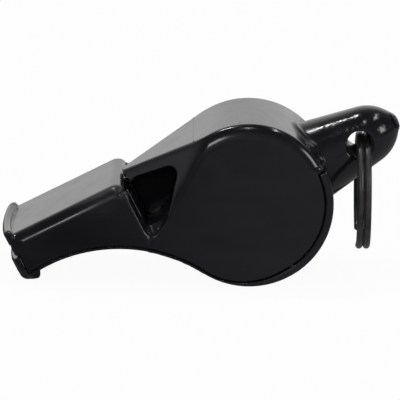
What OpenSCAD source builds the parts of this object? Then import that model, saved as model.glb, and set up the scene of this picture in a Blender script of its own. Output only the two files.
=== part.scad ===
// Pealess sports whistle: a moulded body with a flat-sided drum, a mouthpiece and a lug,
// closed from below by a curved shell, with a split ring hanging in the lug's eye.
// Each shape is drawn in the whistle's own frame: the origin is the drum's centre, +X points
// to the lug, +Z to the roof, and the flat sides face -Y and +Y. rest_pose() lays it down.

/* [Body] */
// Width across the two flat sides
body_w = 18.6; // [16:0.1:22]
// Radius of the drum over the lower shell
drum_r = 11.7; // [10:0.1:13.5]
// How far the crown, on the upper body, lies inside the drum's radius
crown_step = 0.4; // [0.1:0.05:0.7]
// Rounding of the crown's side edges
crown_edge = 1.8; // [1.2:0.1:2.2]
// Thickness of the flat side walls
side_wall = 1.6; // [1.2:0.1:2]
// Thickness of the crown's wall and of the roof
crown_wall = 1.6; // [1.2:0.1:2]
// Thickness of the web between the two chambers
web_t = 1.4; // [1:0.1:2]
// Radius by which one chamber is smaller than the other, so that they sound apart
chamber_offset = 0.6; // [0.2:0.1:1]

/* [Mouthpiece] */
// How far the mouthpiece stands out in front of the drum
mouth_length = 21.35; // [18:0.05:25]
// Thickness of the mouthpiece over the middle of its hollow underside
mouth_t = 6.05; // [5.5:0.05:7]
// How far the flat top lies below the top of the crown
top_drop = 0.6; // [0.3:0.05:1]
// Rounding of the top's edge over the rear face
rear_round = 1.9; // [1:0.1:2.4]
// Rounding of the top's side edges
mouth_edge = 1.3; // [0.8:0.1:1.8]
// Rounding of the mouth end's upright corners
mouth_corner = 1.2; // [0.6:0.1:2]
// Thickness of the top wall
top_wall = 1.4; // [1.1:0.1:1.7]
// Height of the air slots
slot_h = 1.6; // [1.2:0.1:2]
// Radius of the hollow underside
throat_r = 21.4; // [18:0.1:25]

/* [Lip] */
// Radius of the mouth end's gentle bow, seen from above
bow_r = 64; // [50:2:120]
// Radius of the bead along the lip's top
bead_r = 1.05; // [0.8:0.05:1.2]
// Height of the top bead over the flat top
bead_rise = 0.85; // [0.6:0.05:1]
// Radius of the bead under the lip
keel_r = 1.05; // [0.8:0.05:1.2]
// How far the lower lip stands in front of the mouth end
keel_lead = 0.2; // [0.2:0.05:0.5]
// Rounding of the lip's lower corners
keel_corner = 3; // [2:0.1:4]
// Thickness of the lower lip's end wall
lip_wall = 1.6; // [1.2:0.1:2]

/* [Window] */
// Distance from the drum's front to the mouthpiece's rear face
window_gap = 2.6; // [2.2:0.1:3]
// Length from the mouthpiece's rear face to the sounding edge
window_length = 7.3; // [6.8:0.1:7.8]
// Height of the gap over the sounding edge
edge_gap = 0.95; // [0.7:0.05:1.2]
// Depth of the sounding edge's wedge
edge_wedge = 1.2; // [0.8:0.1:1.6]
// Height of the window's lower corner over the underside, before rounding
foot_rise = 0.98; // [0.9:0.02:1.3]
// Rounding of the window's lower corner
window_corner = 0.9; // [0.6:0.1:1.1]
// Rounding of the window's rear corner
rear_corner = 1.1; // [0.8:0.1:1.3]
// Distance from the mouthpiece's rear face to the roof's tip
tip_gap = 0.8; // [0.5:0.1:1.2]
// How far the roof's tip lies below the flat top
tip_drop = 0.1; // [0:0.05:0.3]
// Half width of the roof at its tip, before rounding
roof_tip_half = 1.9; // [1.5:0.1:2.3]
// Distance from the ramps' rear end to the top of the crown
ramp_stop = 0.6; // [0.2:0.1:1.2]
// Height of the ramps' lower end over the window's lower corner
ramp_rise = 1.0; // [0.6:0.05:1.6]
// Rounding between roof and ramps
ramp_round = 2.2; // [1.5:0.1:2.6]
// Thickness of the wall under the ramps
ramp_wall = 1.2; // [0.9:0.1:1.5]

/* [Lower shell] */
// Thickness of the shell's edge round the drum
shell_t = 1.25; // [1:0.05:1.5]
// Thickness of the ledge that stands inside the side walls
ledge_t = 0.7; // [0.4:0.05:1]
// Rounding of the shell's side edges
shell_edge = 0.4; // [0.2:0.05:0.6]
// Width of the groove along the seam
groove_w = 0.25; // [0.15:0.05:0.4]
// Depth of the groove along the seam
groove_d = 0.35; // [0.2:0.05:0.6]
// Gap left at the welded faces
weld_gap = 0.05; // [0.03:0.01:0.1]

/* [Lug] */
// Height of the lug's axis above the drum's centre
lug_height = -0.3; // [-0.6:0.05:0.2]
// Radius of the lug where it leaves the drum
lug_r = 5.45; // [5.2:0.05:5.8]
// Taper of the lug on each side
lug_taper = 10.3; // [8:0.1:12]
// How far the lug stands out behind the drum
lug_length = 11.4; // [10:0.1:13]
// Half angle of the nose's cone
nose_angle = 52; // [48:0.5:56]
// Rounding of the nose's shoulder
nose_round = 1.9; // [1.4:0.1:2]
// Radius of the moulding gate's stub at the tip
gate_r = 0.55; // [0.4:0.05:0.7]
// Thickness of the collar round the lug's root
collar_t = 0.5; // [0.3:0.05:0.8]
// Height of the collar over the crown
collar_h = 0.55; // [0.3:0.05:0.8]

/* [Eye and ring] */
// Distance from the lug's tip to the eye
eye_back = 5.75; // [5.5:0.05:6]
// Radius of the eye
eye_r = 1.9; // [1.8:0.05:2.1]
// Widening of the eye's rims
eye_rim_w = 0.35; // [0.2:0.05:0.5]
// Depth of the eye's rims
eye_rim = 1.6; // [1.2:0.1:2]
// Outer diameter of the split ring
ring_d = 16.6; // [16:0.1:17.6]
// Thickness of the ring's wire
wire_d = 0.8; // [0.7:0.05:0.9]
// Gap between the ring's two turns
turn_gap = 0.42; // [0.41:0.01:0.5]
// Distance from the eye's axis to the ring's middle
ring_drop = 7.55; // [7.4:0.05:7.7]
// How far the ring hangs from the eye's axis towards the nose
ring_shift = 0.25; // [0:0.05:0.4]

/* [Hidden] */
$fn = 96;

// One overrun for every cut
over = 1;
half_w = body_w / 2;
inner_half = half_w - side_wall;
shell_colour = "#1b1b1d";
ring_colour = "#3a3836";

// A hair by which two surfaces cross or stay apart that would otherwise just touch
hair = 0.04;

// Lengths from the drum's centre
crown_r = drum_r - crown_step;
mouth_reach = drum_r + mouth_length;
mouth_top = crown_r - top_drop;
window_back = drum_r + window_gap;
edge_reach = window_back - window_length;
lug_reach = drum_r + lug_length;
eye_reach = lug_reach - eye_back;

// Air slots
slot_top = mouth_top - top_wall;
slot_floor = slot_top - slot_h;
edge_height = slot_top - edge_gap;

// Underside: a hollow arc that runs into the drum
throat_drop = throat_r + mouth_t - mouth_top;
throat_reach = sqrt(pow(drum_r + throat_r - hair, 2) - pow(throat_drop, 2));
throat_foot = [-throat_reach, -throat_drop] * (drum_r + over) / (drum_r + throat_r);
function underside(reach) = sqrt(pow(throat_r, 2) - pow(reach - throat_reach, 2)) - throat_drop;

// Window: its sloping side runs from the lower corner to the sounding edge
window_foot = underside(window_back) + foot_rise;
window_slope = atan2(edge_height - window_foot, window_length);
window_rear = edge_gap / tan(window_slope) - edge_reach;

// Roof: a plane from its tip that touches the crown, and ramps from its tip to the full width
roof_tip = window_back - tip_gap;
roof_tip_height = mouth_top - tip_drop;
tip_far = norm([roof_tip, roof_tip_height]);
roof_slope = atan2(roof_tip_height, -roof_tip) - 90 - acos(crown_r / tip_far);
roof_run = sqrt(pow(tip_far, 2) - pow(crown_r, 2));
ramp_yaw = atan2(half_w - roof_tip_half, roof_run - ramp_stop);
ramp_lean = atan2((half_w - roof_tip_half) * cos(ramp_yaw),
                  roof_tip_height - window_foot - ramp_rise);

// Lip: the beads' middles, and the tilt at which drum and lower bead both touch the ground
bead_at = [bead_r - mouth_reach, mouth_top + bead_rise - bead_r];
keel_reach = mouth_reach + keel_lead - keel_r;
keel_at = [-keel_reach, underside(keel_reach)];
rest_tilt = 180 - asin((keel_r - drum_r) / norm(keel_at)) - atan2(keel_at[1], keel_at[0]);

// Seam
seam_r = drum_r - shell_t;
lip_back = keel_lead + mouth_reach - lip_wall;

// Lug: its profile runs from inside the drum's wall to the tip
lug_start = seam_r - ledge_t;
lug_cone = [cos(lug_taper), sin(lug_taper)];
nose_cone = [cos(nose_angle), sin(nose_angle)];
lug_line = lug_r * lug_cone[0] + crown_r * lug_cone[1];
nose_line = gate_r * nose_cone[0] + lug_reach * nose_cone[1];
nose_corner = [lug_line * nose_cone[1] - nose_line * lug_cone[1],
               nose_line * lug_cone[0] - lug_line * nose_cone[0]] / sin(nose_angle - lug_taper);
lug_start_r = (lug_line - lug_start * lug_cone[1]) / lug_cone[0];
eye_half = (lug_line - eye_reach * lug_cone[1]) / lug_cone[0];

// Ring: two turns of one wire, with a step from one turn to the other
turn_pitch = wire_d + turn_gap;
ring_mean_r = (ring_d - wire_d) / 2;
first_angle = 11;
step_angle = 20;
ring_steps = 24;
ring_sides = 6;
ring_sweep = 2 * (360 - step_angle);
ring_count = round(ring_sweep / (360 / ring_steps));

// The whistle lies on the drum and the lower bead, over the middle of its own length
eye_x = eye_reach * cos(rest_tilt) - lug_height * sin(rest_tilt);
eye_z = eye_reach * sin(rest_tilt) + lug_height * cos(rest_tilt);
rear_x = lug_reach * cos(rest_tilt) - (lug_height - gate_r) * sin(rest_tilt);
front_x = bead_at[0] * cos(rest_tilt) - bead_at[1] * sin(rest_tilt) - bead_r;
rest_x = -(rear_x + front_x) / 2;

// Outlines with rounded corners
function unit(v) = v / norm(v);
function corner_centre(a, b, c, r) =
    let (u = unit(a - b), v = unit(c - b), w = unit(u + v))
    b + w * r / sqrt(1 - pow(u * w, 2));
function touch_point(p, q, c) = p + unit(q - p) * ((c - p) * unit(q - p));

module rounded_outline(points, radii) {
    n = len(points);
    centres = [for (i = [0:n - 1])
        corner_centre(points[(i + n - 1) % n], points[i], points[(i + 1) % n], radii[i])];
    polygon([for (i = [0:n - 1], side = [n - 1, 1])
        touch_point(points[i], points[(i + side) % n], centres[i])]);
    for (i = [0:n - 1])
        if (radii[i] > 0) translate(centres[i]) circle(r = radii[i]);
}

// Ways to give an outline its depth
module across(w) {
    rotate([90, 0, 0]) linear_extrude(height = w, center = true) children();
}

module along(from, to) {
    translate([from, 0, 0]) rotate([90, 0, 90]) linear_extrude(height = to - from) children();
}

module rest_pose() {
    translate([rest_x, 0, drum_r]) rotate([0, -rest_tilt, 0]) children();
}

module ring_pose() {
    translate([rest_x + eye_x, 0, drum_r + eye_z]) children();
}

module roof_frame() {
    rotate([0, -roof_slope, 0]) children();
}

// Drum with both side edges rounded
module drum(r, edge) {
    rotate([90, 0, 0]) rotate_extrude() {
        translate([0, -half_w]) square([r - edge, body_w]);
        translate([0, edge - half_w]) square([r, body_w - 2 * edge]);
        for (side = [-1, 1]) translate([r - edge, side * (half_w - edge)]) circle(r = edge);
    }
}

module throat_disc(grow = 0) {
    translate([-throat_reach, -throat_drop]) circle(r = throat_r + grow, $fn = 180);
}

// Side outline of the mouthpiece, up to its rear face, and of the neck and roof behind it
module mouth_side() {
    difference() {
        rounded_outline([[-mouth_reach, throat_foot[1]], [-window_back, throat_foot[1]],
                         [-window_back, mouth_top], [-mouth_reach, mouth_top]],
                        [0, 0, rear_round, 0]);
        throat_disc();
    }
}

module neck_side() {
    difference() {
        polygon([[-window_back - over, throat_foot[1]],
                 [-window_back - over, mouth_top - rear_round - over], [-roof_tip, slot_top],
                 [-roof_tip, drum_r + over], [0, drum_r + over], [0, 0], throat_foot]);
        throat_disc();
    }
}

// Cross sections: flat sides with rounded top edges, and the lip's rounded block
module top_section(height, edge) {
    rounded_outline([[-half_w, -2 * drum_r], [half_w, -2 * drum_r], [half_w, height],
                     [-half_w, height]], [0, 0, edge, edge]);
}

module lip_section() {
    low = keel_at[1] - keel_r - hair;
    high = bead_at[1] + bead_r + hair;
    rounded_outline([[-half_w, low], [half_w, low], [half_w, high], [-half_w, high]],
                    [keel_corner, keel_corner, mouth_edge, mouth_edge]);
}

module lip_side() {
    translate(bead_at) circle(r = bead_r);
    translate(keel_at) circle(r = keel_r);
    translate([keel_at[0] - keel_r, keel_at[1]]) square([lip_wall + hair, slot_floor - keel_at[1]]);
    translate([-mouth_reach, keel_at[1]]) square([2 * bead_r, bead_at[1] - keel_at[1]]);
}

// The mouth end's upright corners are rounded
module mouth_plan() {
    front = mouth_reach + keel_lead;
    translate([0, 0, -drum_r]) linear_extrude(height = 3 * drum_r) intersection() {
        rounded_outline([[-front, -half_w], [0, -half_w], [0, half_w], [-front, half_w]],
                        [mouth_corner, 0, 0, mouth_corner]);
        translate([bow_r - front, 0]) circle(r = bow_r, $fn = 360);
    }
}

module mouthpiece() {
    intersection() {
        across(body_w) mouth_side();
        along(-mouth_reach, 0) top_section(mouth_top, mouth_edge);
        mouth_plan();
    }
    intersection() {
        across(body_w) lip_side();
        along(-mouth_reach - over, 0) lip_section();
        mouth_plan();
    }
}

module neck() {
    intersection() {
        across(body_w) neck_side();
        roof_frame() along(-2 * roof_run, 0) top_section(crown_r, crown_edge);
    }
}

// What lies further in than a line at this depth below the drum's and the throat's surface.
// Behind the lug's root and over the lower lip the line leaves the surface. Both places are
// moved down by drop.
module inside_line(depth, drop) {
    circle(r = drum_r - depth);
    translate([0, lug_height - drop]) square([2 * drum_r, 2 * drum_r]);
    translate([-mouth_reach - over, slot_floor - drop]) square([mouth_reach, drum_r]);
    difference() {
        polygon([[-lip_back - drop, throat_foot[1]], [-lip_back - drop, 2 * drum_r],
                 [0, 2 * drum_r], [0, 0], throat_foot]);
        throat_disc(depth);
    }
}

module lug_profile(grow = 0) {
    intersection() {
        rounded_outline([[0, lug_start - grow], [lug_start_r + grow, lug_start - grow],
                         nose_corner + [grow, 0], [gate_r, lug_reach], [0, lug_reach]],
                        [0, 0, nose_round, 0, 0]);
        square([drum_r, 2 * lug_reach]);
    }
}

module lug(grow = 0) {
    translate([0, 0, lug_height]) rotate([0, 90, 0]) rotate_extrude() lug_profile(grow);
}

// Joins the web to the mouthpiece's top wall, under the roof's tip
module bridge() {
    high = slot_top + top_wall / 2;
    across(web_t) polygon([[-window_back - over, slot_top], [-window_back - over, high],
        [over - roof_tip, high], [over - roof_tip, slot_top - over],
        [-window_back, slot_top - over], [-window_back, slot_top]]);
}

module collar() {
    intersection() {
        translate([lug_start, 0, lug_height]) rotate([0, 90, 0])
            cylinder(r1 = lug_start_r + collar_t, r2 = lug_r + collar_t, h = drum_r - lug_start);
        rotate([90, 0, 0]) cylinder(r = crown_r + collar_h, h = body_w, center = true);
        translate([0, -half_w, lug_height]) cube([2 * drum_r, body_w, drum_r]);
    }
}

module eye() {
    translate([eye_reach, 0, lug_height]) rotate([90, 0, 0]) {
        cylinder(r = eye_r, h = body_w, center = true);
        for (side = [0, 1]) mirror([0, 0, side]) translate([0, 0, eye_half - eye_rim])
            cylinder(r1 = eye_r, r2 = eye_r + eye_rim_w * (eye_rim + over) / eye_rim,
                     h = eye_rim + over);
    }
}

// The ramps cut the neck's top corners away beside the roof
module ramp_profile() {
    down = [sin(ramp_lean), -cos(ramp_lean)];
    reach = 2 * drum_r;
    run = ramp_round / tan(45 + ramp_lean / 2);
    polygon([[0, 0], down * reach, [reach, down[1] * reach], [reach, over], [0, over]]);
    difference() {
        polygon([[-run, over], [over, over], [over, 0], down * run, [-run, -ramp_round]]);
        translate([-run, -ramp_round]) circle(r = ramp_round);
    }
}

module ramp(side, wall) {
    inwards = wall / cos(ramp_lean) / cos(ramp_yaw);
    mirror([0, side, 0]) roof_frame() translate([-roof_run, inwards - roof_tip_half, crown_r])
        rotate([0, 0, -ramp_yaw]) translate([-over, 0, 0])
        rotate([90, 0, 90]) mirror([1, 0, 0]) linear_extrude(height = 3 * drum_r) ramp_profile();
}

module ramps(wall = 0) {
    intersection() {
        union() for (side = [0, 1]) ramp(side, wall);
        translate([-window_back, -body_w, -drum_r]) cube([2 * drum_r, 2 * body_w, 3 * drum_r]);
    }
}

// Window: a rounded triangle, cut from each side as far as the web. Behind the walls its rear
// corner is sharp, so that the sounding edge is straight.
module window_side() {
    rounded_outline([[-window_back, window_foot], [-window_back, slot_top],
                     [window_rear, slot_top]], [window_corner, 0, rear_corner]);
}

module window_inside() {
    middle = -(window_back + edge_reach) / 2;
    polygon([[middle, slot_top], [window_rear, slot_top],
             [middle, (window_foot + edge_height) / 2]]);
}

// Each chamber is round, opens to the shell below, and takes in air over the sounding edge
module chamber_side(r) {
    circle(r = r);
    polygon([[-edge_reach - edge_wedge, slot_top], [0, slot_top], [0, 0],
             [edge_wedge - edge_reach, edge_height - edge_wedge],
             [-edge_reach - hair, edge_height + hair]]);
    polygon([[0, 0], throat_foot, [throat_foot[0], -2 * drum_r], [2 * drum_r, -2 * drum_r],
             [2 * drum_r, lug_height], [0, lug_height]]);
}

// One side's share of the width, from the web outwards
module beside_web(side, reach) {
    mirror([0, side, 0]) rotate([90, 0, 0])
        translate([0, 0, web_t / 2]) linear_extrude(height = reach - web_t / 2) children();
}

module inside(side) {
    difference() {
        beside_web(side, inner_half) {
            chamber_side(crown_r - crown_wall - side * chamber_offset);
            window_inside();
        }
        ramps(ramp_wall);
    }
}

module hollow_body() {
    difference() {
        intersection() {
            union() {
                drum(crown_r, crown_edge);
                mouthpiece();
                neck();
            }
            across(body_w + over) inside_line(shell_t, 0);
        }
        across(2 * inner_half) polygon([[-mouth_reach - over, throat_foot[1]],
            [-window_back, throat_foot[1]], [-window_back, slot_top],
            [-mouth_reach - over, slot_top]]);
        across(2 * inner_half) difference() {
            square(6 * drum_r, center = true);
            inside_line(shell_t + ledge_t + weld_gap, -weld_gap);
        }
        for (side = [0, 1]) inside(side);
    }
}

module main_body() color(shell_colour) {
    difference() {
        union() {
            hollow_body();
            bridge();
            lug();
            collar();
        }
        ramps();
        eye();
        for (side = [0, 1]) beside_web(side, body_w) window_side();
    }
}

module lower_shell() color(shell_colour) {
    difference() {
        union() {
            drum(drum_r, shell_edge);
            mouthpiece();
            neck();
        }
        across(body_w + over) inside_line(shell_t + ledge_t, weld_gap);
        for (side = [0, 1]) mirror([0, side, 0]) {
            translate([0, body_w / 2 + inner_half - weld_gap, 0])
                across(body_w) inside_line(shell_t - weld_gap, weld_gap);
            translate([0, body_w - groove_d, 0])
                across(body_w) inside_line(shell_t - groove_w, groove_w);
        }
        lug(weld_gap);
    }
}

module windway_block() color(shell_colour) {
    across(2 * (inner_half - weld_gap)) difference() {
        translate([weld_gap - lip_back, throat_foot[1]])
            square([lip_back - window_back - 2 * weld_gap, slot_floor - throat_foot[1]]);
        throat_disc(shell_t + ledge_t + weld_gap);
    }
    across(web_t) polygon([[-mouth_reach, slot_top - weld_gap],
        [-window_back - weld_gap, slot_top - weld_gap],
        [-window_back - weld_gap, slot_floor - weld_gap],
        [weld_gap - lip_back, slot_floor - weld_gap],
        [weld_gap - lip_back, slot_floor + weld_gap], [-mouth_reach, slot_floor + weld_gap]]);
}

// Split ring: rings of points along the wire, in the plane across the whistle
function wire_angle(i) = first_angle + step_angle + i * ring_sweep / ring_count;
function wire_step(i) =
    let (past = abs(i / ring_count - 1 / 2) * ring_sweep / step_angle)
    sign(i - ring_count / 2) * (past > 1 ? 1 : sin(90 * past));
function wire_point(i) = [turn_pitch / 2 * wire_step(i), ring_mean_r * sin(wire_angle(i)),
                          -ring_mean_r * cos(wire_angle(i))];
function wire_ahead(i) = unit(wire_point(min(i + 1, ring_count)) - wire_point(max(i - 1, 0)));
function wire_out(i) = [0, sin(wire_angle(i)), -cos(wire_angle(i))];
function wire_corner(i, j) =
    let (a = 360 * (j + 1 / 2) / ring_sides, across_wire = unit(cross(wire_ahead(i), wire_out(i))))
    wire_point(i) + wire_d / 2 * (cos(a) * wire_out(i) + sin(a) * across_wire);
least_gap = min([for (i = [0:ring_count], j = [i + ring_steps / 2:1:ring_count])
    norm(wire_point(i) - wire_point(j))]) - wire_d;
echo(least_gap = least_gap);

module split_ring() color(ring_colour) {
    last = ring_count * ring_sides;
    translate([ring_shift, 0, -ring_drop]) polyhedron(
        [for (i = [0:ring_count], j = [0:ring_sides - 1]) wire_corner(i, j)],
        concat([for (j = [1:ring_sides - 2]) [0, j, j + 1]],
               [for (j = [1:ring_sides - 2]) [last, last + j + 1, last + j]],
               [for (i = [0:ring_count - 1], j = [0:ring_sides - 1], half = [0, 1])
                   let (a = i * ring_sides + j, b = i * ring_sides + (j + 1) % ring_sides)
                   half == 0 ? [a, a + ring_sides, b] : [b, a + ring_sides, b + ring_sides]]));
}

rest_pose() main_body();
rest_pose() lower_shell();
rest_pose() windway_block();
ring_pose() split_ring();
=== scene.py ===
# A pealess sports whistle in glossy black plastic with a dark split ring, dressed around its
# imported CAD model. The row frame is in metres: +X along the whistle to the lug, +Y to the far
# flat side, +Z up, and the ground at zero. The whistle's own sizes are in millimetres.
import math

import bmesh
import bpy
import numpy as np
from mathutils import Matrix, Vector, noise


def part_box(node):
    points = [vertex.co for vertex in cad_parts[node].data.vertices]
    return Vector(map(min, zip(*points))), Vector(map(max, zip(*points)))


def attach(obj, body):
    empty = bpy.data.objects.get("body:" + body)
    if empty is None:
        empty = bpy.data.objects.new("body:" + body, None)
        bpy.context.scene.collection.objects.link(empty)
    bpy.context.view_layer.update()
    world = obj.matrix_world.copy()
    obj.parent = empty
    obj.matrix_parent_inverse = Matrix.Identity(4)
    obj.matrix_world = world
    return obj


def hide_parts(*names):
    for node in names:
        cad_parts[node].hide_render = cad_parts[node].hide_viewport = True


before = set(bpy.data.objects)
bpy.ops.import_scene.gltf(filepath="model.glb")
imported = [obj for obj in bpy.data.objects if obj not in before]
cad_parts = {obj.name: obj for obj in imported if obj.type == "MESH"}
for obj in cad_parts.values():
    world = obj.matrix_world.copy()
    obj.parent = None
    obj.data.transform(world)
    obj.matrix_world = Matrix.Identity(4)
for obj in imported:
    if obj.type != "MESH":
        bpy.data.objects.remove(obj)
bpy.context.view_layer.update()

MM = 0.001

# The whistle's pose: its drum's centre and its tilt, as in the CAD model
REST_TILT = math.radians(26.7907)
DRUM_CENTRE = Vector((6.672, 0, 11.7)) * MM
# Its two flat sides, and their way along Y
SIDES = {"near": -1, "far": 1}

# The split ring: two turns of round wire that all but touch, a little out from the CAD ring's place
RING_OUTER_RADIUS = 8.3 * MM
WIRE_RADIUS = 0.49 * MM
TURN_PITCH = 1.02 * MM
RING_PLAY = 0.12 * MM

# The whistle's sizes, in millimetres in its own frame: the origin is the drum's centre,
# a runs along the whistle to the lug, y across it and b up to the roof. They are the CAD model's,
# but for some edges and details that follow the photograph more closely
BODY_W = 18.6
DRUM_R = 11.7
CROWN_STEP = 0.4
SIDE_WALL = 1.6
CROWN_WALL = 1.6
WEB_T = 1.4
CHAMBER_OFFSET = 0.6
HALF_W = BODY_W / 2
INNER_HALF = HALF_W - SIDE_WALL
WEB_HALF = WEB_T / 2
CROWN_R = DRUM_R - CROWN_STEP

# The crown's rounded edge: how wide and how deep it is, and over what height it flattens out
CROWN_EDGE = 1.4
CROWN_DEPTH = 2.35
CROWN_END = 0.9

# The closing shell and the seam around it
SHELL_T = 1.25
LEDGE_T = 0.7
SHELL_EDGE = 0.35
SEAM_GAP = 0.05
SEAM_ROUND = 0.14
SEAM_TIGHT = 0.03
# The fine groove along the seam, up to this far in front of the drum's centre
GROOVE_W = 0.2
GROOVE_D = 0.3
GROOVE_REACH = 15
# Over this run the seam comes nearer to the belly's edge, by this share of its depth
BELLY_RUN = 8
BELLY_SHARE = 0.65
# The upper body has all that is above the lug's height from here on towards the lug,
# and all that is above the slots' floor from here on towards the mouthpiece's end
LUG_SIDE_FROM = -3
SLOT_SIDE_TO = -1

# The mouthpiece and the throat that joins it to the drum
MOUTH_LENGTH = 21.35
MOUTH_T = 6.05
TOP_DROP = 0.6
TOP_WALL = 1.4
SLOT_H = 1.6
MOUTH_EDGE = 1.8
LOW_EDGE = 0.4
REAR_ROUND = 1.9
THROAT_R = 21.4
WINDOW_GAP = 2.6
MOUTH_REACH = DRUM_R + MOUTH_LENGTH
MOUTH_TOP = CROWN_R - TOP_DROP
SLOT_TOP = MOUTH_TOP - TOP_WALL
SLOT_FLOOR = SLOT_TOP - SLOT_H
WINDOW_BACK = DRUM_R + WINDOW_GAP
THROAT_DROP = THROAT_R + MOUTH_T - MOUTH_TOP
THROAT_REACH = math.sqrt((DRUM_R + THROAT_R) ** 2 - THROAT_DROP ** 2)

# The lip: a bead on a short stem along its top, and a keel under a thin wall at its foot
BEAD_R = 0.62
BEAD_RISE = 0.78
BEAD_FILLET = 0.15
STEM_RISE = 0.1
STEM_ROUND = 0.2
KEEL_R = 1.25
KEEL_LEAD = 0.6
KEEL_UP = 4.75
KEEL_CORNER = 3.2
KEEL_FILLET = 0.15
LIP_WALL = 1.9
LIP_SHOULDER = 0.6
KEEL_REACH = MOUTH_REACH + KEEL_LEAD - KEEL_R
LIP_BACK = MOUTH_REACH + KEEL_LEAD - LIP_WALL
# The side edges change from one rounding to the next over this run, from a little behind the lip
EDGE_RUN = 1.5
LIP_EDGE_BACK = 1
# The mouth's end is bowed, and falls back further near its two ends
BOW_R = 64
BOW_END = 3.4
BOW_END_DEPTH = 0.5

# The roof, which narrows to a tip between the windows
TIP_GAP = 0.8
TIP_DROP = 0.1
ROOF_TIP_HALF = 1.9
ROOF_TIP = WINDOW_BACK - TIP_GAP
ROOF_TIP_UP = MOUTH_TOP - TIP_DROP
ROOF_FAR = math.hypot(ROOF_TIP, ROOF_TIP_UP)
ROOF_RUN = math.sqrt(ROOF_FAR ** 2 - CROWN_R ** 2)
ROOF_SLOPE = math.atan2(ROOF_TIP_UP, -ROOF_TIP) - math.pi / 2 - math.acos(CROWN_R / ROOF_FAR)
# Over the air slots it starts this far inside the mouthpiece, and what is lower this much further
ROOF_LAP = 0.25
LOW_LAP = 1
ROOF_START = WINDOW_BACK + ROOF_LAP

# The ramps beside the roof
RAMP_STOP = 0.6
RAMP_YAW = math.atan2(HALF_W - ROOF_TIP_HALF, ROOF_RUN - RAMP_STOP)
RAMP_LEAN = math.radians(34.12)
RAMP_WALL = 1.2
RAMP_CREASE = 0.8
# They run out along this line over the window's lower corner
FADE_FOOT = 2.1
FADE_SLOPE = 0.5
FADE_DEPTH = 1.05
FADE_BLEND = 1.2

# The windows, and the sounding edges at their rear
WINDOW_LEAD = 0.2
WINDOW_FRONT = WINDOW_BACK + WINDOW_LEAD
WINDOW_REAR = 6.0
WINDOW_LEAN = math.radians(49.7)
WINDOW_FOOT = 2.0
WINDOW_CORNER = 1.0
WINDOW_TOP_CORNER = 1.9
WINDOW_RIM = 0.3
SILL_SLOPE = 0.75
SILL_REACH = 1.6
SILL_SHARE = 1 / math.hypot(1, SILL_SLOPE)
WINDOW_LENGTH = 7.3
EDGE_GAP = 0.95
EDGE_REACH = WINDOW_BACK - WINDOW_LENGTH
EDGE_HEIGHT = SLOT_TOP - EDGE_GAP
DIAGONAL_SHARE = math.sqrt(0.5)

# The lug: a cone with a rounded nose that ends in the gate's small flat
LUG_UP = -0.3
LUG_R = 5.45
LUG_TAPER = math.radians(10.3)
LUG_LENGTH = 11.4
LUG_FILLET = 0.2
NOSE_ANGLE = math.radians(52)
NOSE_ROUND = 5.6
GATE_R = 0.75
GATE_EDGE = 0.3
LUG_REACH = DRUM_R + LUG_LENGTH
LUG_START = DRUM_R - SHELL_T - LEDGE_T
# The cone's line and the nose's line, and the centre of the round between them
LUG_LINE = LUG_R * math.cos(LUG_TAPER) + CROWN_R * math.sin(LUG_TAPER)
NOSE_LINE = GATE_R * math.cos(NOSE_ANGLE) + LUG_REACH * math.sin(NOSE_ANGLE)
NOSE_TURN = math.sin(NOSE_ANGLE - LUG_TAPER)
DOME_A = ((NOSE_LINE - NOSE_ROUND) * math.cos(LUG_TAPER)
          - (LUG_LINE - NOSE_ROUND) * math.cos(NOSE_ANGLE)) / NOSE_TURN
DOME_UP = ((LUG_LINE - NOSE_ROUND) * math.sin(NOSE_ANGLE)
           - (NOSE_LINE - NOSE_ROUND) * math.sin(LUG_TAPER)) / NOSE_TURN

# The collar round the lug's root, and the eye
COLLAR_T = 0.45
COLLAR_H = 0.45
COLLAR_EDGE = 0.2
EYE_BACK = 6.05
EYE_R = 1.85
EYE_RIM = 0.35
EYE_REACH = LUG_REACH - EYE_BACK


# Signed distances in the whistle's frame: below zero inside the material
def both(first, second, radius):
    """What lies in both shapes, with their common edge rounded."""
    corner = np.hypot(np.maximum(radius + first, 0), np.maximum(radius + second, 0))
    return np.minimum(-radius, np.maximum(first, second)) + corner


def either(first, second, radius):
    """Both shapes as one, with a fillet where they meet."""
    return -both(-first, -second, radius)


def drum_shape(a, y, b, radius, edge, depth):
    """The flat-sided drum. Its edge is rounded this wide across and this deep inwards."""
    return both((np.hypot(a, b) - radius) * edge / depth, np.abs(y) - HALF_W, edge)


def shell_drum(a, y, b):
    """The drum as large as the closing shell makes it."""
    return drum_shape(a, y, b, DRUM_R, SHELL_EDGE, SHELL_EDGE)


def throat(a, b, grow=0.0):
    """The hollow round under the mouthpiece's root, below zero outside it."""
    return THROAT_R + grow - np.hypot(a + THROAT_REACH, b + THROAT_DROP)


def above_throat_line(a, b):
    """How far a point is above the line from the throat's centre to the drum's."""
    return (b * THROAT_REACH - a * THROAT_DROP) / math.hypot(THROAT_REACH, THROAT_DROP)


def bow(y):
    """How far the mouth's end falls back at y, by its bow and its rounded ends."""
    end = np.clip((np.abs(y) - HALF_W + BOW_END) / BOW_END, 0, 1)
    return y ** 2 / (2 * BOW_R) + BOW_END_DEPTH * end ** 3


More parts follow.
